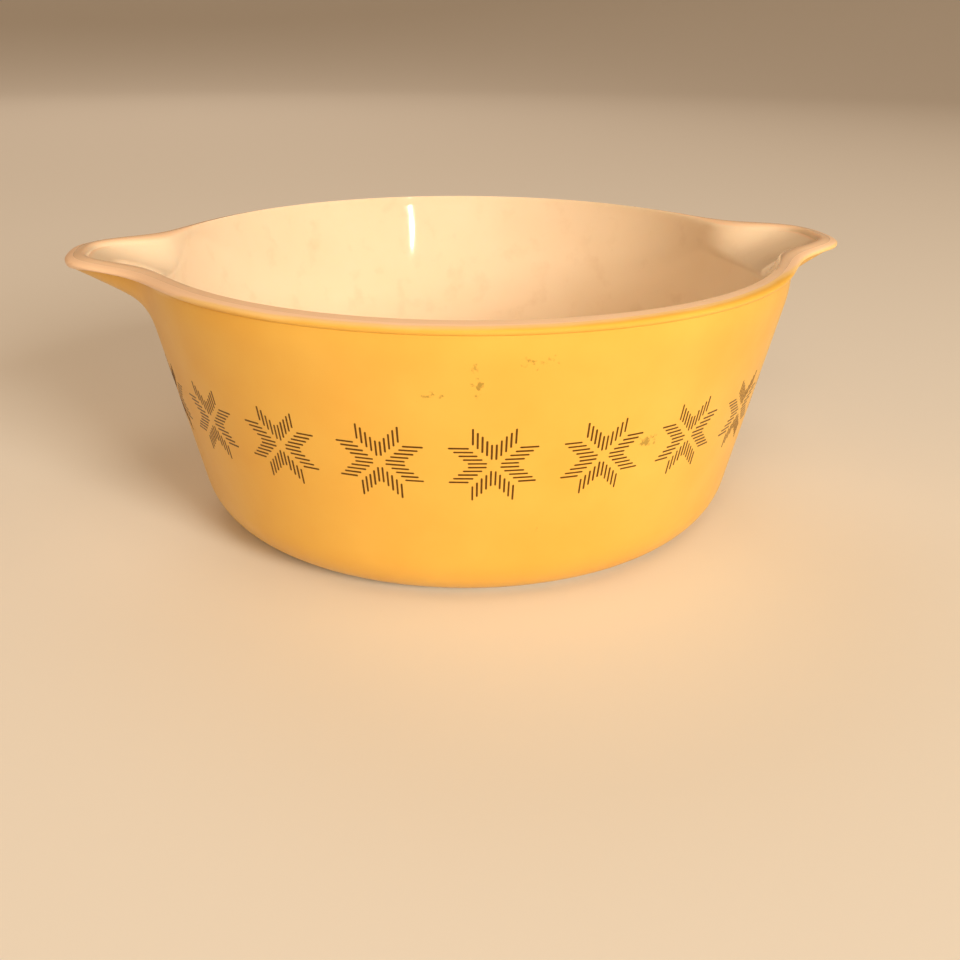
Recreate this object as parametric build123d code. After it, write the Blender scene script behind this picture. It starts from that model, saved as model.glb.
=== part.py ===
from build123d import *
import os
from math import asin, cos, degrees, radians, sin, tan

# A round pressed opal-glass bowl with a rolled rim and two dished pouring handles.
# The glass is one piece. Amber enamel is fired on its outside, and a band of
# hatched eight-pointed stars is printed on the enamel and fired on in turn.
#
# Frame: +Z up, origin on the table under the bowl's axis, handles along X.
# Lengths in millimetres, angles in degrees.

# ---- driving dimensions ------------------------------------------------------

# body of the bowl, outside
RIM_RADIUS = 107.8        # outermost edge of the rolled rim, away from the handles
RIM_HEIGHT = 90.5         # top of the rolled rim, away from the handles
WALL_TAPER = 12.6         # lean of the wall from the vertical
WALL_FOOT_RADIUS = 88.6   # outside of the wall carried down to the table
CORNER_RADIUS = 20.3      # outside round between the wall and the base
WALL_THICKNESS = 5.8      # square to the wall

# base
FOOT_WIDTH = 6.0          # flat ring that the bowl stands on
RECESS_DEPTH = 1.2        # the base stands clear of the table inside the ring
RECESS_SLOPE = 3.0        # width of the step from the ring up to the recess
FLOOR_HEIGHT = 6.4        # inside floor above the table
FLOOR_CORNER_RADIUS = 16.0

# rolled rim, a section through it away from the handles
CREST_INSET = 5.0         # top of the roll, in from its outer edge
SIDE_DROP = 1.8           # outermost point of the roll, below its top
ROLL_DEPTH = 2.8          # underside of the roll, below its top
ROLL_GROOVE = 1.1         # the wall draws in by this much under the roll
ROLL_INNER_HEIGHT = 87.0  # where the inner wall ends and the roll begins

# handles: how far each feature moves on the handle's centre line, and how
# wide (half angle round the bowl) and how square-shouldered its swell is
HANDLE_SPREAD = 46.0      # half angle past which the rim is plain again
HANDLE_REACH = 22.0       # the lip's outer edge moves out by this much
HANDLE_RISE = 1.0         # and up by this much
LIP_HALF_ANGLE = 12.5
LIP_SQUARENESS = 3.6
LIP_WIDTH = 6.8           # raised lip round the dish
LIP_UPSTAND = 1.6         # height of the lip above the dish
LIP_UNDERCUT = 1.6        # lower edge of the lip, in from its outer edge
TIP_DEPTH = 4.2           # underside of the lip below its top, at a handle's very tip
TIP_NARROWNESS = 6        # how closely that extra depth keeps to the tip
UNDERSIDE_KNEE = (82.5, 75.5)     # height where underside and wall meet: rim, handle
UNDERSIDE_HALF_ANGLE = 20.0
UNDERSIDE_SQUARENESS = 4.0
UNDERSIDE_ROUND = (3.5, 7.0)      # length of the round on each side of that meeting
DISH_SHOULDER = (85.0, 80.0)      # height where dish and inner wall meet: rim, handle
DISH_HALF_ANGLE = 23.0
DISH_SQUARENESS = 4.0
DISH_ROUND = 2.0

SPLIT_HEIGHT = 55.0       # below this height the bowl is a plain solid of revolution
STATIONS = [-46, -41, -36, -32, -28, -25, -22, -19, -16.5, -14, -11.5, -9, -6, -3, 0]
JOIN_TOLERANCE = 0.002

# fired enamel and printed stars
COAT_THICKNESS = 0.2
COAT_FOOT_HEIGHT = 1.0    # the coat stops this far above the table
STAR_COUNT = 20
STAR_FIRST_ANGLE = -94.5  # place of the first star round the bowl
STAR_HEIGHT = 49.4
STROKE_PITCH = 1.235      # spacing of the strokes that hatch a star
STROKES_PER_POINT = 5
STROKE_WIDTH = 0.48
STAR_STRETCH = 1.03       # a star is this much wider than it is high
INK_THICKNESS = 0.08
INK_CLEARANCE = 0.01      # keeps a flat stroke clear of the curved enamel

SLOPE = tan(radians(WALL_TAPER))


# ---- outlines in the (radius, height) plane ----------------------------------

def wall_outside(height):
    return WALL_FOOT_RADIUS + SLOPE * height


def wall_inside(height):
    return wall_outside(height) - WALL_THICKNESS / cos(radians(WALL_TAPER))


def mix(plain, handle, share):
    return plain + (handle - plain) * share


def swell(angle, half_angle, squareness):
    """1 on a handle's centre line, 0 past HANDLE_SPREAD, with flat shoulders."""
    window = max(0.0, 1 - (angle / HANDLE_SPREAD) ** 2) ** 2
    return window / (window + abs(angle / half_angle) ** squareness)


def point(radius, height):
    """A point of an outline, on the XZ plane."""
    return Vector(radius, 0, height)


def step(start, towards, length):
    """The point a given length from start, on the way to another point."""
    return start + (towards - start).normalized() * length


def offset_corner(before, corner, after, distance):
    """A corner moved square to both of its sides, to the left of the path."""
    along_in = (corner - before).normalized()
    along_out = (after - corner).normalized()
    left_in = Vector(along_in.Z, 0, -along_in.X)
    left_out = Vector(along_out.Z, 0, -along_out.X)
    return corner + (left_in + left_out) * (distance / (1 + left_in.dot(left_out)))


def outside_path(angle, grow=0.0):
    """Outside of the wall, the underside and the lower half of the lip.

    The angle is measured from the handle's centre line. grow moves the whole
    path outwards, for the enamel.
    """
    reach = swell(angle, LIP_HALF_ANGLE, LIP_SQUARENESS)
    under = swell(angle, UNDERSIDE_HALF_ANGLE, UNDERSIDE_SQUARENESS)
    lip_radius = RIM_RADIUS + HANDLE_REACH * reach
    lip_top = RIM_HEIGHT + HANDLE_RISE * reach
    roll_under = lip_top - mix(ROLL_DEPTH, TIP_DEPTH, reach ** TIP_NARROWNESS)
    knee_height = mix(*UNDERSIDE_KNEE, under)

    foot = point(wall_outside(SPLIT_HEIGHT), SPLIT_HEIGHT)
    knee = point(wall_outside(knee_height), knee_height)
    groove_radius = wall_outside(roll_under) - ROLL_GROOVE
    lip_low = point(mix(groove_radius, lip_radius - LIP_UNDERCUT, reach), roll_under)
    lip_turn = point(lip_radius, roll_under + 0.3)
    lip_side = point(lip_radius, lip_top - SIDE_DROP)

    corners = [foot, knee, lip_low, lip_turn, lip_side]
    if grow:
        out = Vector(grow / cos(radians(WALL_TAPER)), 0, 0)
        inner = corners
        corners = [foot + out]
        for before, corner, after in zip(inner, inner[1:], inner[2:]):
            corners.append(offset_corner(before, corner, after, grow))
        corners.append(lip_side + Vector(grow, 0, 0))
    foot, knee, lip_low, lip_turn, lip_side = corners

    underside = (lip_low - knee).length
    rounding = mix(*UNDERSIDE_ROUND, under)
    knee_end = step(knee, lip_low, min(rounding, 0.8 * underside))
    knee_start = step(knee, foot, rounding)
    return [
        Line(foot, knee_start),
        Bezier(knee_start, knee, knee_end),
        Line(knee_end, lip_low),
        Bezier(lip_low, lip_turn, lip_side),
    ]


def inside_path(angle):
    """The upper half of the lip, the dish and the inner wall, going down."""
    reach = swell(angle, LIP_HALF_ANGLE, LIP_SQUARENESS)
    dish = swell(angle, DISH_HALF_ANGLE, DISH_SQUARENESS)
    lip_radius = RIM_RADIUS + HANDLE_REACH * reach
    lip_top = RIM_HEIGHT + HANDLE_RISE * reach
    shoulder_height = mix(*DISH_SHOULDER, dish)

    lip_side = point(lip_radius, lip_top - SIDE_DROP)
    crest = point(lip_radius - CREST_INSET, lip_top)
    lip_root = point(
        mix(wall_inside(ROLL_INNER_HEIGHT), lip_radius - LIP_WIDTH, reach),
        mix(ROLL_INNER_HEIGHT, lip_top - LIP_UPSTAND, reach),
    )
    shoulder = point(wall_inside(shoulder_height), shoulder_height)
    foot = point(wall_inside(SPLIT_HEIGHT), SPLIT_HEIGHT)

    dish_length = (lip_root - shoulder).length
    rounding = mix(0.3, DISH_ROUND, dish)
    shoulder_start = step(shoulder, lip_root, min(rounding, dish_length / 2))
    shoulder_end = step(shoulder, foot, rounding)
    return [
        Bezier(lip_side, point(lip_radius, lip_top - 0.6), crest),
        Bezier(crest, point(lip_root.X + 0.6, lip_top), lip_root),
        Line(lip_root, shoulder_start),
        Bezier(shoulder_start, shoulder, shoulder_end),
        Line(shoulder_end, foot),
    ]


def face_of(edges):
    return make_face(edges).face()


def rim_section(angle):
    """Section through the glass above SPLIT_HEIGHT."""
    outside = outside_path(angle)
    inside = inside_path(angle)
    return face_of(outside + inside + [Line(inside[-1] @ 1, outside[0] @ 0)])


def coat_section(angle):
    """Section through the enamel above SPLIT_HEIGHT."""
    glass_side = outside_path(angle)
    air_side = outside_path(angle, COAT_THICKNESS)
    low = Line(air_side[0] @ 0, glass_side[0] @ 0)
    high = Line(glass_side[-1] @ 1, air_side[-1] @ 1)
    return face_of(glass_side + [high] + air_side + [low])


def corner_centre(wall, floor_height, radius):
    """Centre of the round between a wall and a flat floor."""
    height = floor_height + radius
    return point(wall(height) - radius / cos(radians(WALL_TAPER)), height)


def on_round(centre, radius, angle):
    return centre + point(radius * cos(radians(angle)), radius * sin(radians(angle)))


def round_edge(centre, radius, start, end):
    middle = (start + end) / 2
    return ThreePointArc(
        on_round(centre, radius, start),
        on_round(centre, radius, middle),
        on_round(centre, radius, end),
    )


def base_section():
    """Half section through the glass below SPLIT_HEIGHT, from axis to wall."""
    outer_centre = corner_centre(wall_outside, 0, CORNER_RADIUS)
    inner_centre = corner_centre(wall_inside, FLOOR_HEIGHT, FLOOR_CORNER_RADIUS)
    outer_round = round_edge(outer_centre, CORNER_RADIUS, -90, -WALL_TAPER)
    inner_round = round_edge(inner_centre, FLOOR_CORNER_RADIUS, -WALL_TAPER, -90)
    ring_inside = outer_centre.X - FOOT_WIDTH
    corners_below = [
        point(0, FLOOR_HEIGHT),
        point(0, RECESS_DEPTH),
        point(ring_inside - RECESS_SLOPE, RECESS_DEPTH),
        point(ring_inside, 0),
        outer_round @ 0,
    ]
    corners_above = [
        outer_round @ 1,
        point(wall_outside(SPLIT_HEIGHT), SPLIT_HEIGHT),
        point(wall_inside(SPLIT_HEIGHT), SPLIT_HEIGHT),
        inner_round @ 0,
    ]
    edges = [outer_round, inner_round]
    edges += Polyline(corners_below).edges()
    edges += Polyline(corners_above).edges()
    edges.append(Line(inner_round @ 1, corners_below[0]))
    return face_of(edges)


def coat_base_section():
    """Half section through the enamel below SPLIT_HEIGHT."""
    centre = corner_centre(wall_outside, 0, CORNER_RADIUS)
    start = -degrees(asin(1 - COAT_FOOT_HEIGHT / CORNER_RADIUS))
    glass_side = round_edge(centre, CORNER_RADIUS, start, -WALL_TAPER)
    air_side = round_edge(centre, CORNER_RADIUS + COAT_THICKNESS, start, -WALL_TAPER)
    glass_top = point(wall_outside(SPLIT_HEIGHT), SPLIT_HEIGHT)
    air_top = glass_top + Vector(COAT_THICKNESS / cos(radians(WALL_TAPER)), 0, 0)
    edges = [glass_side, air_side, Line(air_side @ 0, glass_side @ 0)]
    edges += Polyline([glass_side @ 1, glass_top, air_top, air_side @ 1]).edges()
    return face_of(edges)


# ---- solids -------------------------------------------------------------------

def around(shape, angle):
    return shape.rotate(Axis.Z, angle)


def full_turn(section):
    return revolve(section, Axis.Z, 360)


def upper_ring(section_at):
    """The ring above SPLIT_HEIGHT: two handles and the plain rim between them."""
    angles = STATIONS + [-angle for angle in reversed(STATIONS[:-1])]
    handle = loft([around(section_at(angle), angle) for angle in angles])
    plain_angle = 180 - 2 * HANDLE_SPREAD
    plain = revolve(around(section_at(HANDLE_SPREAD), HANDLE_SPREAD), Axis.Z, plain_angle)
    return [handle, plain, around(handle, 180), around(plain, 180)]


def one_solid(pieces):
    """Pieces joined. The tolerance closes the hairline where the loft meets a circle."""
    return pieces[0].fuse(*pieces[1:], tol=JOIN_TOLERANCE).solid().fix()


def stroke_centres():
    """Centres of the strokes of one star, and the angle that each one runs at.

    Each side of the star holds two sheaves of strokes. Every stroke lies one
    pitch further out and further along than the one before it, which gives a
    point of the star its slanted ends.
    """
    for number in range(STROKES_PER_POINT):
        aside = (number + 0.5) * STROKE_PITCH
        along = (number + 3.5) * STROKE_PITCH
        for hand in (-1, 1):
            for way in (-1, 1):
                yield hand * aside, way * along, 90
                yield way * along, hand * aside, 0


def on_coat(across, up):
    """Place on the enamel, a given way across and up from a star's centre."""
    lift = (COAT_THICKNESS + INK_CLEARANCE) / cos(radians(WALL_TAPER))
    height = STAR_HEIGHT + up * cos(radians(WALL_TAPER))
    turn = degrees(STAR_STRETCH * across / wall_outside(STAR_HEIGHT))
    facing_x = Plane(
        origin=(wall_outside(height) + lift, 0, height),
        x_dir=(0, 1, 0),
        z_dir=(cos(radians(WALL_TAPER)), 0, -sin(radians(WALL_TAPER))),
    )
    return Rot(0, 0, turn) * facing_x.location


def star():
    """One printed star: thin strokes that lie on the enamel."""
    stroke = extrude(SlotOverall(4 * STROKE_PITCH, STROKE_WIDTH), INK_THICKNESS)
    strokes = [
        on_coat(across, up) * Rot(0, 0, run) * stroke
        for across, up, run in stroke_centres()
    ]
    return Compound([piece.solid() for piece in strokes])


def save(shape, name):
    shape.label = name
    export_step(shape, f"parts/{name}.step")


os.makedirs("parts", exist_ok=True)

glass = one_solid([full_turn(base_section())] + upper_ring(rim_section))
save(glass, "glass_bowl")

coat = one_solid([full_turn(coat_base_section())] + upper_ring(coat_section))
save(coat, "colour_coat")

first_star = star()
for number in range(STAR_COUNT):
    angle = STAR_FIRST_ANGLE + number * 360 / STAR_COUNT
    save(around(first_star, angle), f"star_{number + 1:02d}")
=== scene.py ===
import math

import bpy
from mathutils import Matrix, Vector


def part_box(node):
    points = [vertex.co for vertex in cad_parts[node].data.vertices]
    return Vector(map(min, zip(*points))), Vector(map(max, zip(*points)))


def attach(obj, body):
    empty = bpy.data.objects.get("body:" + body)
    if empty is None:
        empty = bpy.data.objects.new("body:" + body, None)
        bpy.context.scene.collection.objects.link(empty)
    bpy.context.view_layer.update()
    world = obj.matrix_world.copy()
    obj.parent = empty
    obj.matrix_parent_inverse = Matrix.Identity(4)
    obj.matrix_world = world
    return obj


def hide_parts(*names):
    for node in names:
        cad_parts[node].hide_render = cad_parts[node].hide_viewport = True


# A pressed opal-glass bowl with two dished handles, amber enamel and a band of stars.
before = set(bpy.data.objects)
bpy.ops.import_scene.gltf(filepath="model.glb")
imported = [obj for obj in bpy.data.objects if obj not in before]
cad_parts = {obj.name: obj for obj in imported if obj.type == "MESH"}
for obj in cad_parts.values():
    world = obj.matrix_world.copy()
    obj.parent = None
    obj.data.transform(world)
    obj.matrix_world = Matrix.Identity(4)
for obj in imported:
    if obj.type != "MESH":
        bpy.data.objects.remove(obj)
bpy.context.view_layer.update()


# ---- the bowl -------------------------------------------------------------------
# One thick piece of opal glass, pressed in a mould in a single stroke: foot ring,
# leaning wall, rolled rim and two dished handles. It is fire-polished all over.
# Lengths are in millimetres until a mesh is made; the handles lie along X.

MM = 0.001
glass_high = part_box("glass_bowl")[1]

HANDLE_RISE = 1.0                                   # handle lip above the plain rim
RIM_HEIGHT = glass_high[2] / MM - HANDLE_RISE
HANDLE_REACH = 22.0                                 # handle lip beyond the plain rim
RIM_RADIUS = glass_high[0] / MM - HANDLE_REACH
WALL_TAPER = math.radians(12.6)
WALL_FOOT_RADIUS = 88.6                             # the wall carried down to the table
WALL_THICKNESS = 5.8
CORNER_RADIUS = 20.3
FLOOR_HEIGHT = 6.4
FLOOR_CORNER_RADIUS = 16.0
FOOT_WIDTH = 6.0
FOOT_EASE = (1.0, 0.5)                              # soft inner edge of the foot ring
RECESS_DEPTH = 1.2
RECESS_SLOPE = 3.0
CAP_RADIUS = 2.0                                    # last ring of points before the axis

CREST_INSET = 5.0                                   # top of the roll, in from its edge
CREST_EASE = 0.6                                    # how softly the roll turns over its top
SIDE_DROP = 1.8                                     # its outermost point, below its top
ROLL_DEPTH = 2.8                                    # its underside, below its top
ROLL_TURN = 0.3                                     # how softly the underside turns up
ROLL_GROOVE = 1.1
ROLL_INNER_HEIGHT = 87.0                            # where the roll meets the inner wall

HANDLE_SPREAD = 46.0                                # degrees round from a handle's centre
LIP_SWELL = (12.5, 3.6)                             # half width in degrees, squareness
UNDERSIDE_SWELL = (20.0, 4.0)
DISH_SWELL = (23.0, 4.0)
LIP_WIDTH = 6.8
LIP_UPSTAND = 1.6
LIP_UNDERCUT = 1.6
TIP_DEPTH = 4.2                                     # thickness at a handle's very tip
TIP_NARROWNESS = 6

# Each at the plain rim and at a handle: heights, and how far a bend spreads.
UNDERSIDE_KNEE = (82.5, 75.5)
UNDERSIDE_ROUND = (3.5, 7.0)
UNDERSIDE_SHARE = 0.8                               # most of the underside that a bend takes
DISH_SHOULDER = (85.0, 80.0)
DISH_ROUND = (0.3, 2.0)

COLUMNS = 480                                       # steps round the bowl
NEAR_HANDLE = (38.0, 5.0)                           # marks the stretch beside a handle
SHARP_FOLD = math.radians(40)


def wall_outside(height):
    return WALL_FOOT_RADIUS + math.tan(WALL_TAPER) * height


def wall_inside(height):
    return wall_outside(height) - WALL_THICKNESS / math.cos(WALL_TAPER)


def mix(plain, handle, share):
    return plain + (handle - plain) * share


def swell(angle, half_angle, squareness):
    """1 on a handle's centre line, 0 on the plain rim, with flat shoulders."""
    window = max(0.0, 1 - (angle / HANDLE_SPREAD) ** 2) ** 2
    return window / (window + abs(angle / half_angle) ** squareness)


def towards(start, end, length):
    return start + (end - start).normalized() * length


def straight(start, end, steps):
    return [start.lerp(end, step / steps) for step in range(steps)]


def bend(start, corner, end, steps):
    """Points of a soft bend that leaves start, and arrives at end, towards corner."""
    points = []
    for step in range(steps):
        t = step / steps
        points.append(start * (1 - t) ** 2 + corner * 2 * t * (1 - t) + end * t * t)
    return points


def round_off(wall, floor_height, radius, start, end, steps):
    """Points of the round between a wall and a flat floor, by angle."""
    height = floor_height + radius
    centre = Vector((wall(height) - radius / math.cos(WALL_TAPER), height))
    points = []
    for step in range(steps):
        angle = mix(start, end, step / steps)
        points.append(centre + radius * Vector((math.cos(angle), math.sin(angle))))
    return points


def lip(angle):
    """How far a handle swells the lip, the lip's outer radius, and its top."""
    reach = swell(angle, *LIP_SWELL)
    return reach, RIM_RADIUS + HANDLE_REACH * reach, RIM_HEIGHT + HANDLE_RISE * reach


def outside_section(angle):
    """Radius and height from the foot round up to the outermost point of the lip."""
    reach, lip_radius, lip_top = lip(angle)
    under = swell(angle, *UNDERSIDE_SWELL)
    roll_under = lip_top - mix(ROLL_DEPTH, TIP_DEPTH, reach ** TIP_NARROWNESS)
    knee_height = mix(*UNDERSIDE_KNEE, under)

    knee = Vector((wall_outside(knee_height), knee_height))
    groove_radius = wall_outside(roll_under) - ROLL_GROOVE
    lip_low = Vector((mix(groove_radius, lip_radius - LIP_UNDERCUT, reach), roll_under))
    lip_turn = Vector((lip_radius, roll_under + ROLL_TURN))
    lip_side = Vector((lip_radius, lip_top - SIDE_DROP))

    corner_top = CORNER_RADIUS * (1 - math.sin(WALL_TAPER))
    corner_end = Vector((wall_outside(corner_top), corner_top))
    underside = (lip_low - knee).length
    rounding = mix(*UNDERSIDE_ROUND, under)
    knee_end = towards(knee, lip_low, min(rounding, UNDERSIDE_SHARE * underside))
    knee_start = towards(knee, corner_end, rounding)
    points = round_off(wall_outside, 0, CORNER_RADIUS, -math.pi / 2, -WALL_TAPER, steps=14)
    points += straight(corner_end, knee_start, steps=16)
    points += bend(knee_start, knee, knee_end, steps=10)
    points += straight(knee_end, lip_low, steps=8)
    points += bend(lip_low, lip_turn, lip_side, steps=6)
    return points


def roll_over(angle):
    """From the outermost point of the lip up to its crest."""
    _, lip_radius, lip_top = lip(angle)
    side = Vector((lip_radius, lip_top - SIDE_DROP))
    crest = Vector((lip_radius - CREST_INSET, lip_top))
    return bend(side, Vector((lip_radius, lip_top - CREST_EASE)), crest, steps=10)


def inside_section(angle):
    """From the crest down the dish and the inner wall to the edge of the floor."""
    reach, lip_radius, lip_top = lip(angle)
    dish = swell(angle, *DISH_SWELL)
    shoulder_height = mix(*DISH_SHOULDER, dish)

    crest = Vector((lip_radius - CREST_INSET, lip_top))
    lip_root = Vector((
        mix(wall_inside(ROLL_INNER_HEIGHT), lip_radius - LIP_WIDTH, reach),
        mix(ROLL_INNER_HEIGHT, lip_top - LIP_UPSTAND, reach),
    ))
    shoulder = Vector((wall_inside(shoulder_height), shoulder_height))
    corner_top = FLOOR_HEIGHT + FLOOR_CORNER_RADIUS * (1 - math.sin(WALL_TAPER))
    corner_end = Vector((wall_inside(corner_top), corner_top))
    rounding = mix(*DISH_ROUND, dish)
    dish_length = (lip_root - shoulder).length
    shoulder_start = towards(shoulder, lip_root, min(rounding, dish_length / 2))
    shoulder_end = towards(shoulder, corner_end, rounding)

    points = bend(crest, Vector((lip_root.x + CREST_EASE, lip_top)), lip_root, steps=8)
    points += straight(lip_root, shoulder_start, steps=10)
    points += bend(shoulder_start, shoulder, shoulder_end, steps=10)
    points += straight(shoulder_end, corner_end, steps=14)
    points += round_off(
        wall_inside, FLOOR_HEIGHT, FLOOR_CORNER_RADIUS, -WALL_TAPER, -math.pi / 2, steps=12,
    )
    return points


def glass_section(angle):
    """The whole section, from near the axis underneath to near the axis inside."""
    outside = outside_section(angle)
    ring_inside = outside[0].x - FOOT_WIDTH
    ring_corner = Vector((ring_inside - FOOT_EASE[0], 0))
    ring_flat = Vector((ring_inside + FOOT_EASE[1], 0))
    recess_edge = Vector((ring_inside - RECESS_SLOPE, RECESS_DEPTH))
    floor_edge = round_off(
        wall_inside, FLOOR_HEIGHT, FLOOR_CORNER_RADIUS, -math.pi / 2, 0, steps=1,
    )[0]
    floor_middle = Vector((CAP_RADIUS, FLOOR_HEIGHT))
    points = straight(Vector((CAP_RADIUS, RECESS_DEPTH)), recess_edge, steps=8)
    points += bend(recess_edge, ring_corner, ring_flat, steps=5)
    points += straight(ring_flat, outside[0], steps=3)
    points += outside + roll_over(angle) + inside_section(angle)
    points += straight(floor_edge, floor_middle, steps=8)
    points.append(floor_middle)
    return points


def handle_angle(turn):
    """Angle from the nearer handle's centre line."""
    return (turn + 90) % 180 - 90


def swept(name, section_at, closed):
    """A mesh of one section turned about Z.

    Each point keeps its distance along the section, and how near it is to a
    handle. A closed section joins its last point to its first; an open one is
    capped on the axis at both ends.
    """
    turns = [360 * column / COLUMNS for column in range(COLUMNS)]
    sections = [section_at(handle_angle(turn)) for turn in turns]
    rows = len(sections[0])
    vertices = []
    along = []
    nearness = []
    for turn, section in zip(turns, sections):
        way = Vector((math.cos(math.radians(turn)), math.sin(math.radians(turn))))
        travelled = 0.0
        previous = section[0]
        for place in section:
            travelled += (place - previous).length
            previous = place
            vertices.append(Vector((way.x * place.x, way.y * place.x, place.y)) * MM)
            along.append(travelled * MM)
            nearness.append(swell(handle_angle(turn), *NEAR_HANDLE))
    faces = []
    for column in range(COLUMNS):
        here = column * rows
        there = (column + 1) % COLUMNS * rows
        for row in range(rows if closed else rows - 1):
            up = (row + 1) % rows
            faces.append((here + row, there + row, there + up, here + up))
    if not closed:
        for row in (0, rows - 1):
            height = sections[0][row].y * MM
            vertices.append(Vector((0, 0, height)))
            along.append(along[row])
            nearness.append(0.0)
            pole = len(vertices) - 1
            for column in range(COLUMNS):
                here = column * rows + row
                there = (column + 1) % COLUMNS * rows + row
                faces.append((there, here, pole) if row == 0 else (here, there, pole))
    mesh = bpy.data.meshes.new(name)
    mesh.from_pydata(vertices, [], faces)
    mesh.attributes.new("along", "FLOAT", "POINT").data.foreach_set("value", along)
    mesh.attributes.new("near handle", "FLOAT", "POINT").data.foreach_set("value", nearness)
    mesh.shade_smooth()
    mesh.set_sharp_from_angle(angle=SHARP_FOLD)
    thing = bpy.data.objects.new(name, mesh)
    bpy.context.scene.collection.objects.link(thing)
    return thing


def linear(code):
    """A colour written as sRGB hex, as the linear colour that a shader takes."""
    channels = [int(code[place:place + 2], 16) / 255 for place in (1, 3, 5)]
    return [c / 12.92 if c <= 0.04045 else ((c + 0.055) / 1.055) ** 2.4 for c in channels] + [1]


def add(tree, kind, inputs=None, **settings):
    """Adds a node. Each input is given a value, or an output to link to."""
    made = tree.nodes.new(kind)
    for name, value in settings.items():
        setattr(made, name, value)
    for name, value in (inputs or {}).items():
        if isinstance(value, bpy.types.NodeSocket):
            tree.links.new(value, made.inputs[name])
        else:
            made.inputs[name].default_value = value
    return made


def start_material(name):
    material = bpy.data.materials.new(name)
    material.use_nodes = True
    material.node_tree.nodes.clear()
    return material, material.node_tree


# Opal glass, pressed and fire-polished: an opaque, faintly cream white that lets a
# little light through its edges, under a clear hard gloss. The mould leaves broad
# shallow ripples, and years of spoons leave a fine haze of marks inside.
opal_glass, tree = start_material("opal glass, fire-polished")
place = add(tree, "ShaderNodeTexCoord").outputs["Object"]
cloud = add(tree, "ShaderNodeTexNoise", {"Vector": place, "Scale": 1 / (35 * MM), "Detail": 3})
body = add(tree, "ShaderNodeMix", {
    0: cloud.outputs["Fac"], 6: linear("#F3E2CB"), 7: linear("#EAD3B6"),
}, data_type="RGBA")
soil = add(tree, "ShaderNodeTexNoise", {"Vector": place, "Scale": 1 / (9 * MM), "Detail": 6})
soil_share = add(tree, "ShaderNodeMapRange", {
    "Value": soil.outputs["Fac"], "From Min": 0.56, "From Max": 0.78, "To Max": 0.16,
})
soiled = add(tree, "ShaderNodeMix", {
    0: soil_share.outputs[0], 6: body.outputs[2], 7: linear("#B98F63"),
}, data_type="RGBA")
# A trace of amber was carried over the roll of the rim.
height = add(tree, "ShaderNodeSeparateXYZ", {0: place}).outputs["Z"]
high = add(tree, "ShaderNodeMapRange", {
    "Value": height, "From Min": (RIM_HEIGHT - 1.2) * MM, "From Max": (RIM_HEIGHT - 0.6) * MM,
})
facing = add(tree, "ShaderNodeNewGeometry").outputs["Normal"]
face_up = add(tree, "ShaderNodeMapRange", {
    "Value": add(tree, "ShaderNodeSeparateXYZ", {0: facing}).outputs["Z"],
    "From Min": 0.5, "From Max": 0.85,
})
on_roll = add(tree, "ShaderNodeMath", {
    0: high.outputs[0], 1: face_up.outputs[0],
}, operation="MULTIPLY")
tinted = add(tree, "ShaderNodeMix", {
    0: on_roll.outputs[0], 6: soiled.outputs[2], 7: linear("#F6D3B3"),
}, data_type="RGBA")
# Spoon marks: long fine streaks, drawn wider than real ones so that they show.
marks_way = add(tree, "ShaderNodeMapping", {
    "Vector": place, "Rotation": (0.3, 0.5, 0.7),
    "Scale": (1 / (0.6 * MM), 1 / (30 * MM), 1 / (0.6 * MM)),
})
marks = add(tree, "ShaderNodeTexNoise", {"Vector": marks_way.outputs[0], "Scale": 1, "Detail": 2})
haze = add(tree, "ShaderNodeMapRange", {
    "Value": marks.outputs["Fac"], "From Min": 0.55, "From Max": 0.75, "To Min": 0.06, "To Max": 0.16,
})
ripple = add(tree, "ShaderNodeTexNoise", {"Vector": place, "Scale": 1 / (22 * MM), "Detail": 1})
relief = add(tree, "ShaderNodeBump", {
    "Height": ripple.outputs["Fac"], "Strength": 0.25, "Distance": 1.2 * MM,
})
shader = add(tree, "ShaderNodeBsdfPrincipled", {
    "Base Color": tinted.outputs[2],
    "Roughness": haze.outputs[0],
    "IOR": 1.51,
    "Normal": relief.outputs[0],
    "Subsurface Weight": 0.25,
    "Subsurface Radius": (1.0, 0.72, 0.5),
    "Subsurface Scale": 4 * MM,
})
add(tree, "ShaderNodeOutputMaterial", {"Surface": shader.outputs[0]})

bowl_glass = swept("bowl_glass", glass_section, closed=False)
bowl_glass.data.materials.append(opal_glass)
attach(bowl_glass, "root")
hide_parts("glass_bowl")


# ---- the enamel -----------------------------------------------------------------
# A thin coat of amber enamel, sprayed on the outside of the cold glass and fired.
# It thins out over the roll of the rim, where it was wiped back, and the foot ring
# is left bare. Along the bottom edge it is drawn darker brown.

COAT_THICKNESS = 0.2
COAT_FOOT_HEIGHT = 1.0
COAT_BITE = 0.1                                     # its back lies this far in the glass
COAT_OVER_ROLL = 8                                  # steps of the roll that it climbs
COAT_FEATHER = 5                                    # steps over which its top edge thins out


def enamel_section(angle):
    """From the roll down to the foot along the front, and back up behind it."""
    path = roll_over(angle)[:COAT_OVER_ROLL][::-1] + outside_section(angle)[::-1]
    path = [place for place in path if place.y > COAT_FOOT_HEIGHT]
    front = []
    back = []
    for number, place in enumerate(path):
        before = path[max(number - 1, 0)]
        after = path[min(number + 1, len(path) - 1)]
        run = (after - before).normalized()
        out = Vector((-run.y, run.x))
        thickness = COAT_THICKNESS * min(1, number / COAT_FEATHER)
        front.append(place + out * thickness)
        back.append(place - out * COAT_BITE)
    return front + back[::-1]


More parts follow.
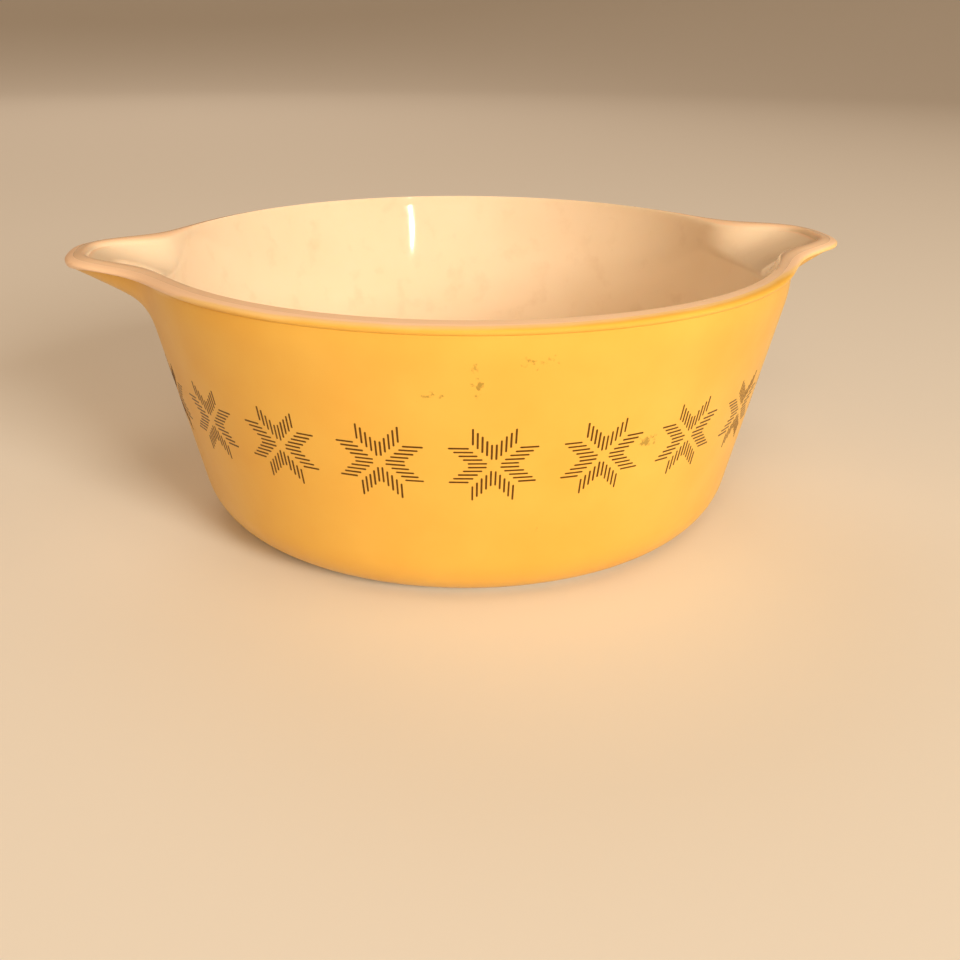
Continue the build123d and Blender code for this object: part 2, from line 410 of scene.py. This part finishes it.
# Amber enamel, sprayed and fired: an opaque warm yellow with a satin gloss, slightly
# cloudy where the spray was heavier, over a very fine grain.
amber_enamel, tree = start_material("amber enamel, sprayed and fired")
place = add(tree, "ShaderNodeTexCoord").outputs["Object"]
apart = add(tree, "ShaderNodeSeparateXYZ", {0: place})
along = add(tree, "ShaderNodeAttribute", attribute_name="along")
cloud = add(tree, "ShaderNodeTexNoise", {"Vector": place, "Scale": 1 / (30 * MM), "Detail": 4})
cloud_share = add(tree, "ShaderNodeMapRange", {
    "Value": cloud.outputs["Fac"], "From Min": 0.3, "From Max": 0.7,
})
amber = add(tree, "ShaderNodeMix", {
    0: cloud_share.outputs[0], 6: linear("#E6B751"), 7: linear("#E2AC46"),
}, data_type="RGBA")
# The upper edge wanders, sits a little lower towards one side and beside the handles,
# and goes from bare glass through a thin pale band to the full coat.
near_handle = add(tree, "ShaderNodeAttribute", attribute_name="near handle")
edge_wander = add(tree, "ShaderNodeTexNoise", {"Vector": place, "Scale": 1 / (14 * MM), "Detail": 2})
wandering = add(tree, "ShaderNodeMath", {
    0: edge_wander.outputs["Fac"], 1: 1.2 * MM, 2: along.outputs["Fac"],
}, operation="MULTIPLY_ADD")
askew = add(tree, "ShaderNodeMath", {
    0: apart.outputs["X"], 1: 0.014, 2: wandering.outputs[0],
}, operation="MULTIPLY_ADD")
edge_place = add(tree, "ShaderNodeMath", {
    0: near_handle.outputs["Fac"], 1: -3.6 * MM, 2: askew.outputs[0],
}, operation="MULTIPLY_ADD")
thin = add(tree, "ShaderNodeMapRange", {
    "Value": edge_place.outputs[0], "From Min": 1.8 * MM, "From Max": 3.4 * MM,
    "To Min": 1, "To Max": 0,
}, interpolation_type="SMOOTHSTEP")
faded = add(tree, "ShaderNodeMix", {
    0: thin.outputs[0], 6: amber.outputs[2], 7: linear("#F0CB8A"),
}, data_type="RGBA")
bare = add(tree, "ShaderNodeMapRange", {
    "Value": edge_place.outputs[0], "From Min": 0.7 * MM, "From Max": 1.8 * MM,
    "To Min": 1, "To Max": 0,
}, interpolation_type="SMOOTHSTEP")
wiped = add(tree, "ShaderNodeMix", {
    0: bare.outputs[0], 6: faded.outputs[2], 7: linear("#F6D3B3"),
}, data_type="RGBA")

# Brown specks and a thin darker brown line drawn along the bottom edge, above the foot ring.
bottom_edge_noise = add(tree, "ShaderNodeTexNoise", {"Vector": place, "Scale": 1 / (2.5 * MM), "Detail": 5})
bottom_edge_level = add(tree, "ShaderNodeMath", {
    0: bottom_edge_noise.outputs["Fac"], 1: -12 * MM, 2: apart.outputs["Z"],
}, operation="MULTIPLY_ADD")
bottom_darkening = add(tree, "ShaderNodeMapRange", {
    "Value": bottom_edge_level.outputs[0], "From Min": -5.2 * MM, "From Max": -2.8 * MM,
    "To Min": 0.7, "To Max": 0,
}, interpolation_type="SMOOTHSTEP")
bottom_darkened = add(tree, "ShaderNodeMix", {
    0: bottom_darkening.outputs[0], 6: wiped.outputs[2], 7: linear("#8A6A2C"),
}, data_type="RGBA")

# Small olive-brown scuffs in a few places, each broken up into specks.
# Place and half size in millimetres, and how much of it is specks.
SCUFFS = (
    ((-14.2, -105, 78.9), (0.7, 3, 0.9), 0.36),
    ((-13.3, -104, 73.6), (1.1, 3, 2.0), 0.40),
    ((-25.0, -101, 70.3), (4.0, 3, 1.2), 0.50),
    ((2.0, -106, 80.3), (4.5, 3, 1.4), 0.48),
    ((37.2, -93, 51.5), (1.6, 3, 1.3), 0.36),
    ((3.8, -95, 27.2), (2.0, 3, 0.9), 0.48),
    ((60.0, 80, 62.0), (5.0, 6, 2.0), 0.52),
    ((-70.0, 60, 30.0), (3.0, 4, 6.0), 0.52),
)
specks = add(tree, "ShaderNodeTexNoise", {"Vector": place, "Scale": 1 / (1.4 * MM), "Detail": 3})
colour = bottom_darkened.outputs[2]
for middle, half_size, share in SCUFFS:
    offset = add(tree, "ShaderNodeVectorMath", {
        0: place, 1: [c * MM for c in middle],
    }, operation="SUBTRACT")
    scaled = add(tree, "ShaderNodeVectorMath", {
        0: offset.outputs[0], 1: [c * MM for c in half_size],
    }, operation="DIVIDE")
    away = add(tree, "ShaderNodeVectorMath", {0: scaled.outputs[0]}, operation="LENGTH")
    level = add(tree, "ShaderNodeMath", {
        0: away.outputs["Value"], 1: -0.16, 2: specks.outputs["Fac"],
    }, operation="MULTIPLY_ADD")
    scuffed = add(tree, "ShaderNodeMapRange", {
        "Value": level.outputs[0], "From Min": share - 0.08, "From Max": share + 0.06,
        "To Min": 0, "To Max": 0.7,
    })
    colour = add(tree, "ShaderNodeMix", {
        0: scuffed.outputs[0], 6: colour, 7: linear("#8A7426"),
    }, data_type="RGBA").outputs[2]

# The spray's grain is drawn a few times coarser than it is, so that it shows.
fine = add(tree, "ShaderNodeTexNoise", {"Vector": place, "Scale": 1 / (1.6 * MM), "Detail": 3})
gloss = add(tree, "ShaderNodeMapRange", {
    "Value": cloud.outputs["Fac"], "From Min": 0.3, "From Max": 0.7, "To Min": 0.3, "To Max": 0.4,
})
relief = add(tree, "ShaderNodeBump", {
    "Height": fine.outputs["Fac"], "Strength": 0.12, "Distance": 0.2 * MM,
})
shader = add(tree, "ShaderNodeBsdfPrincipled", {
    "Base Color": colour,
    "Roughness": gloss.outputs[0],
    "IOR": 1.5,
    "Normal": relief.outputs[0],
})
add(tree, "ShaderNodeOutputMaterial", {"Surface": shader.outputs[0]})

enamel_skin = swept("enamel_skin", enamel_section, closed=True)
enamel_skin.data.materials.append(amber_enamel)
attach(enamel_skin, "root")
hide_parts("colour_coat")


# ---- the band of stars ------------------------------------------------------------
# A ring of twenty stars, each with eight points made of forty short strokes: ceramic
# ink with bronze powder, printed through a screen on the enamel and fired in turn.
# The strokes stand a little proud, and their ends are slightly uneven.

STAR_SIZES = {
    "Stars": 20,
    "Strokes": 5,
    "Pitch": 1.235 * MM,
    "Stroke width": 0.54 * MM,
    "Stroke length": 4.94 * MM,
    "Ink thickness": 0.05 * MM,
    "Unevenness": 0.07,
    "Seed": 7,
    "First star": math.radians(-94.5),
    "Star height": 49.4 * MM,
    "Stretch": 1.03,
    "Lying length": 1.08,
    "Foot radius": (WALL_FOOT_RADIUS + COAT_THICKNESS / math.cos(WALL_TAPER)) * MM,
    "Taper": WALL_TAPER,
}

# Bronze powder in dark ceramic ink: brown, with a dull metallic glint. Its grain is
# drawn far coarser than the powder, so that it shows.
ink, tree = start_material("bronze ceramic ink, screen-printed and fired")
place = add(tree, "ShaderNodeTexCoord").outputs["Object"]
grain = add(tree, "ShaderNodeTexNoise", {"Vector": place, "Scale": 1 / (0.9 * MM), "Detail": 4})
bronze = add(tree, "ShaderNodeMix", {
    0: grain.outputs["Fac"], 6: linear("#4A2E06"), 7: linear("#775010"),
}, data_type="RGBA")
shader = add(tree, "ShaderNodeBsdfPrincipled", {
    "Base Color": bronze.outputs[2],
    "Metallic": 0.45,
    "Roughness": 0.38,
})
add(tree, "ShaderNodeOutputMaterial", {"Surface": shader.outputs[0]})

tree = bpy.data.node_groups.new("star band", "GeometryNodeTree")
tree.is_modifier = True
tree.interface.new_socket("Geometry", in_out="OUTPUT", socket_type="NodeSocketGeometry")
for name, value in STAR_SIZES.items():
    kind = "NodeSocketInt" if isinstance(value, int) else "NodeSocketFloat"
    tree.interface.new_socket(name, in_out="INPUT", socket_type=kind)
size = add(tree, "NodeGroupInput").outputs

# Half a quarter of a star: strokes in a row that steps out and along by one pitch,
# from half a pitch aside and three and a half pitches from the centre.
first_aside = add(tree, "ShaderNodeMath", {0: size["Pitch"], 1: 0.5}, operation="MULTIPLY")
first_along = add(tree, "ShaderNodeMath", {0: size["Pitch"], 1: 3.5}, operation="MULTIPLY")
halves = []
for hand in (1, -1):
    aside = add(tree, "ShaderNodeMath", {0: first_aside.outputs[0], 1: hand}, operation="MULTIPLY")
    stride = add(tree, "ShaderNodeMath", {0: size["Pitch"], 1: hand}, operation="MULTIPLY")
    start = add(tree, "ShaderNodeCombineXYZ", {"X": aside.outputs[0], "Y": first_along.outputs[0]})
    offset = add(tree, "ShaderNodeCombineXYZ", {"X": stride.outputs[0], "Y": size["Pitch"]})
    halves.append(add(tree, "GeometryNodeMeshLine", {
        "Count": size["Strokes"], "Start Location": start.outputs[0], "Offset": offset.outputs[0],
    }))
pair = add(tree, "GeometryNodeJoinGeometry", {0: halves[0].outputs[0]})
tree.links.new(halves[1].outputs[0], pair.inputs[0])

# Four such pairs, a quarter turn apart, make a star. Strokes above and below the
# centre stand upright and are marked; those beside it lie.
index = add(tree, "GeometryNodeInputIndex").outputs[0]
quarter = add(tree, "ShaderNodeMath", {0: index, 1: math.pi / 2}, operation="MULTIPLY")
quarter_turn = add(tree, "ShaderNodeCombineXYZ", {"Z": quarter.outputs[0]})
centre = add(tree, "GeometryNodeMeshLine", {"Count": 4, "Offset": (0, 0, 0)})
star = add(tree, "GeometryNodeInstanceOnPoints", {
    "Points": centre.outputs[0], "Instance": pair.outputs[0], "Rotation": quarter_turn.outputs[0],
})
star_points = add(tree, "GeometryNodeRealizeInstances", {0: star.outputs[0]})
spot = add(tree, "ShaderNodeSeparateXYZ", {0: add(tree, "GeometryNodeInputPosition").outputs[0]})
across = add(tree, "ShaderNodeMath", {0: spot.outputs["X"]}, operation="ABSOLUTE")
upward = add(tree, "ShaderNodeMath", {0: spot.outputs["Y"]}, operation="ABSOLUTE")
upright = add(tree, "ShaderNodeMath", {
    0: upward.outputs[0], 1: across.outputs[0],
}, operation="GREATER_THAN")
marked = add(tree, "GeometryNodeStoreNamedAttribute", {
    "Geometry": star_points.outputs[0], "Name": "upright", "Value": upright.outputs[0],
}, data_type="FLOAT", domain="POINT")
widening = add(tree, "ShaderNodeCombineXYZ", {"X": size["Stretch"], "Y": 1.0, "Z": 1.0})
widened = add(tree, "GeometryNodeTransform", {
    "Geometry": marked.outputs[0], "Scale": widening.outputs[0],
})

# The stars in a row as long as the way round the bowl at their height.
tangent = add(tree, "ShaderNodeMath", {0: size["Taper"]}, operation="TANGENT")
star_radius = add(tree, "ShaderNodeMath", {
    0: tangent.outputs[0], 1: size["Star height"], 2: size["Foot radius"],
}, operation="MULTIPLY_ADD")
girth = add(tree, "ShaderNodeMath", {0: star_radius.outputs[0], 1: 2 * math.pi}, operation="MULTIPLY")
spacing = add(tree, "ShaderNodeMath", {0: girth.outputs[0], 1: size["Stars"]}, operation="DIVIDE")
row_step = add(tree, "ShaderNodeCombineXYZ", {"X": spacing.outputs[0]})
row = add(tree, "GeometryNodeMeshLine", {"Count": size["Stars"], "Offset": row_step.outputs[0]})
stars = add(tree, "GeometryNodeInstanceOnPoints", {
    "Points": row.outputs[0], "Instance": widened.outputs[0],
})
stroke_points = add(tree, "GeometryNodeRealizeInstances", {0: stars.outputs[0]})

# One stroke: a flat bar along X. Its ends are all but half round, because a fillet of
# half the width would leave no edge between its two arcs.
outline = add(tree, "GeometryNodeCurvePrimitiveQuadrilateral", {
    "Width": size["Stroke length"], "Height": size["Stroke width"],
})
end_radius = add(tree, "ShaderNodeMath", {0: size["Stroke width"], 1: 0.49}, operation="MULTIPLY")
rounded = add(tree, "GeometryNodeFilletCurve", {
    "Curve": outline.outputs[0], "Count": 3, "Radius": end_radius.outputs[0],
}, mode="POLY")
flat = add(tree, "GeometryNodeFillCurve", {"Curve": rounded.outputs[0]}, mode="NGONS")
raised = add(tree, "GeometryNodeExtrudeMesh", {
    "Mesh": flat.outputs[0], "Offset Scale": size["Ink thickness"], "Individual": False,
})
backing = add(tree, "GeometryNodeFlipFaces", {0: flat.outputs[0]})
stroke_parts = add(tree, "GeometryNodeJoinGeometry", {0: raised.outputs[0]})
tree.links.new(backing.outputs[0], stroke_parts.inputs[0])
stroke = add(tree, "GeometryNodeMergeByDistance", {
    "Geometry": stroke_parts.outputs[0], "Distance": 0.001 * MM,
})

# A stroke on every point, each one a little longer, shorter, fatter or thinner.
is_upright = add(tree, "GeometryNodeInputNamedAttribute", {"Name": "upright"}, data_type="FLOAT")
lean = add(tree, "ShaderNodeMath", {0: is_upright.outputs[0], 1: math.pi / 2}, operation="MULTIPLY")
stroke_turn = add(tree, "ShaderNodeCombineXYZ", {"Z": lean.outputs[0]})
limits = []
for operation in ("SUBTRACT", "ADD"):
    limit = add(tree, "ShaderNodeMath", {0: 1.0, 1: size["Unevenness"]}, operation=operation)
    limits.append(add(tree, "ShaderNodeCombineXYZ", {
        "X": limit.outputs[0], "Y": limit.outputs[0], "Z": 1.0,
    }))
scatter = add(tree, "FunctionNodeRandomValue", {
    0: limits[0].outputs[0], 1: limits[1].outputs[0], "Seed": size["Seed"],
}, data_type="FLOAT_VECTOR")
length = add(tree, "ShaderNodeMix", {
    0: is_upright.outputs[0], 2: size["Lying length"], 3: 1.0,
})
lengthened = add(tree, "ShaderNodeCombineXYZ", {"X": length.outputs[0], "Y": 1.0, "Z": 1.0})
stroke_scale = add(tree, "ShaderNodeVectorMath", {
    0: scatter.outputs[0], 1: lengthened.outputs[0],
}, operation="MULTIPLY")
strokes = add(tree, "GeometryNodeInstanceOnPoints", {
    "Points": stroke_points.outputs[0],
    "Instance": stroke.outputs[0],
    "Rotation": stroke_turn.outputs[0],
    "Scale": stroke_scale.outputs[0],
})
flat_band = add(tree, "GeometryNodeRealizeInstances", {0: strokes.outputs[0]})

# The flat band is wrapped on the cone of the wall.
spot = add(tree, "ShaderNodeSeparateXYZ", {0: add(tree, "GeometryNodeInputPosition").outputs[0]})
cosine = add(tree, "ShaderNodeMath", {0: size["Taper"]}, operation="COSINE")
round_by = add(tree, "ShaderNodeMath", {
    0: spot.outputs["X"], 1: star_radius.outputs[0],
}, operation="DIVIDE")
bearing = add(tree, "ShaderNodeMath", {0: round_by.outputs[0], 1: size["First star"]}, operation="ADD")
climb = add(tree, "ShaderNodeMath", {
    0: spot.outputs["Y"], 1: cosine.outputs[0], 2: size["Star height"],
}, operation="MULTIPLY_ADD")
wall_radius = add(tree, "ShaderNodeMath", {
    0: climb.outputs[0], 1: tangent.outputs[0], 2: size["Foot radius"],
}, operation="MULTIPLY_ADD")
proud = add(tree, "ShaderNodeMath", {0: spot.outputs["Z"], 1: cosine.outputs[0]}, operation="DIVIDE")
radius = add(tree, "ShaderNodeMath", {0: wall_radius.outputs[0], 1: proud.outputs[0]}, operation="ADD")
ways = []
for part_of_turn in ("COSINE", "SINE"):
    turned = add(tree, "ShaderNodeMath", {0: bearing.outputs[0]}, operation=part_of_turn)
    ways.append(add(tree, "ShaderNodeMath", {
        0: radius.outputs[0], 1: turned.outputs[0],
    }, operation="MULTIPLY"))
wrapped_place = add(tree, "ShaderNodeCombineXYZ", {
    "X": ways[0].outputs[0], "Y": ways[1].outputs[0], "Z": climb.outputs[0],
})
wrapped = add(tree, "GeometryNodeSetPosition", {
    "Geometry": flat_band.outputs[0], "Position": wrapped_place.outputs[0],
})
inked = add(tree, "GeometryNodeSetMaterial", {"Geometry": wrapped.outputs[0], "Material": ink})
add(tree, "NodeGroupOutput", {0: inked.outputs[0]})

maker = bpy.data.objects.new("star band maker", bpy.data.meshes.new("star band maker"))
bpy.context.scene.collection.objects.link(maker)
modifier = maker.modifiers.new("star band", "NODES")
modifier.node_group = tree
for item in tree.interface.items_tree:
    if item.in_out == "INPUT":
        modifier[item.identifier] = STAR_SIZES[item.name]
made = maker.evaluated_get(bpy.context.evaluated_depsgraph_get())
star_band = bpy.data.objects.new("star_band", bpy.data.meshes.new_from_object(made))
bpy.context.scene.collection.objects.link(star_band)
bpy.data.objects.remove(maker)
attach(star_band, "root")
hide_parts(*[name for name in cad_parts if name.startswith("star_")])


# ---- floor, light and camera ------------------------------------------------------
# A plain pale floor and warm soft light, brightest from the front and the right, as
# a kitchen lamp would give, with a faint light from behind. None of it belongs to
# the bowl.

# A round floor whose edge curves up into a low wall, so that it has no horizon.
FLOOR_RADIUS = 2.2
COVE_RADIUS = 2.5
COVE_ARC = math.radians(40)
COVE_STEPS = 24
FLOOR_COLUMNS = 96
cove = [(0.0, 0.0)]
for step in range(COVE_STEPS + 1):
    angle = COVE_ARC * step / COVE_STEPS
    cove.append((FLOOR_RADIUS + COVE_RADIUS * math.sin(angle), COVE_RADIUS * (1 - math.cos(angle))))
floor_points = []
floor_faces = []
for column in range(FLOOR_COLUMNS):
    turn = math.tau * column / FLOOR_COLUMNS
    here = column * len(cove)
    there = (column + 1) % FLOOR_COLUMNS * len(cove)
    for row, (radius, height) in enumerate(cove):
        floor_points.append((radius * math.cos(turn), radius * math.sin(turn), height))
        if row:
            floor_faces.append((here + row - 1, here + row, there + row, there + row - 1))
floor_mesh = bpy.data.meshes.new("floor")
floor_mesh.from_pydata(floor_points, [], floor_faces)
floor_mesh.shade_smooth()
floor = bpy.data.objects.new("floor", floor_mesh)
bpy.context.scene.collection.objects.link(floor)
pale, tree = start_material("pale floor")
shader = add(tree, "ShaderNodeBsdfPrincipled", {"Base Color": linear("#ECEAE6"), "Roughness": 0.7})
add(tree, "ShaderNodeOutputMaterial", {"Surface": shader.outputs[0]})
floor_mesh.materials.append(pale)

world = bpy.data.worlds.new("room")
world.use_nodes = True
world.node_tree.nodes["Background"].inputs["Color"].default_value = linear("#FFCB96")
world.node_tree.nodes["Background"].inputs["Strength"].default_value = 0.22
bpy.context.scene.world = world

# Name, bearing round the bowl, height angle, distance, width, power and colour. Only
# the small bulb is seen in the gloss, as a short bright streak.
LAMPS = (
    ("key", -64, 20, 2.40, 0.72, 51.0, "#FFF3DD"),
    ("front", -104, 28, 2.40, 1.00, 19.0, "#FFE0B8"),
    ("top", -80, 68, 2.40, 1.20, 9.0, "#FFE4C4"),
    ("back", 100, 38, 2.40, 1.40, 12.0, "#FFEAD2"),
    ("bulb", -74, 15.8, 3.00, 0.07, 2.2, "#FFF0DC"),
)
LAMP_AIM = Vector((0, 0, 50 * MM))
for name, bearing, rise, distance, width, power, colour in LAMPS:
    lamp = bpy.data.lights.new(name, "AREA")
    lamp.size = width
    lamp.energy = power
    lamp.color = linear(colour)[:3]
    stand = bpy.data.objects.new(name, lamp)
    stand.visible_glossy = name == "bulb"
    way = Matrix.Rotation(math.radians(bearing), 3, "Z") @ Matrix.Rotation(math.radians(-rise), 3, "Y")
    stand.location = LAMP_AIM + way @ Vector((distance, 0, 0))
    stand.rotation_euler = (stand.location - LAMP_AIM).to_track_quat("Z", "Y").to_euler()
    bpy.context.scene.collection.objects.link(stand)

# The camera's place is given round a point on the bowl's axis, with angles in degrees.
CAMERA_CENTRE_HEIGHT = 45 * MM
CAMERA_DISTANCE = 395.3 * MM
CAMERA_BEARING = -98.79
CAMERA_RISE = 17.33
CAMERA_HEADING = -9.57
CAMERA_PITCH = 22.95
CAMERA_ROLL = 0.47
CAMERA_LENS = 41.5
CAMERA_FILM_WIDTH = 36

camera_data = bpy.data.cameras.new("camera")
camera_data.sensor_width = CAMERA_FILM_WIDTH
camera_data.lens = CAMERA_LENS
camera_data.clip_start = 0.01
camera = bpy.data.objects.new("camera", camera_data)
level = CAMERA_DISTANCE * math.cos(math.radians(CAMERA_RISE))
camera.matrix_world = (
    Matrix.Translation((
        level * math.cos(math.radians(CAMERA_BEARING)),
        level * math.sin(math.radians(CAMERA_BEARING)),
        CAMERA_CENTRE_HEIGHT + CAMERA_DISTANCE * math.sin(math.radians(CAMERA_RISE)),
    ))
    @ Matrix.Rotation(math.radians(CAMERA_HEADING), 4, "Z")
    @ Matrix.Rotation(math.radians(90 - CAMERA_PITCH), 4, "X")
    @ Matrix.Rotation(math.radians(CAMERA_ROLL), 4, "Z")
)
bpy.context.scene.collection.objects.link(camera)
bpy.context.scene.camera = camera
bpy.context.scene.view_settings.view_transform = "Standard"
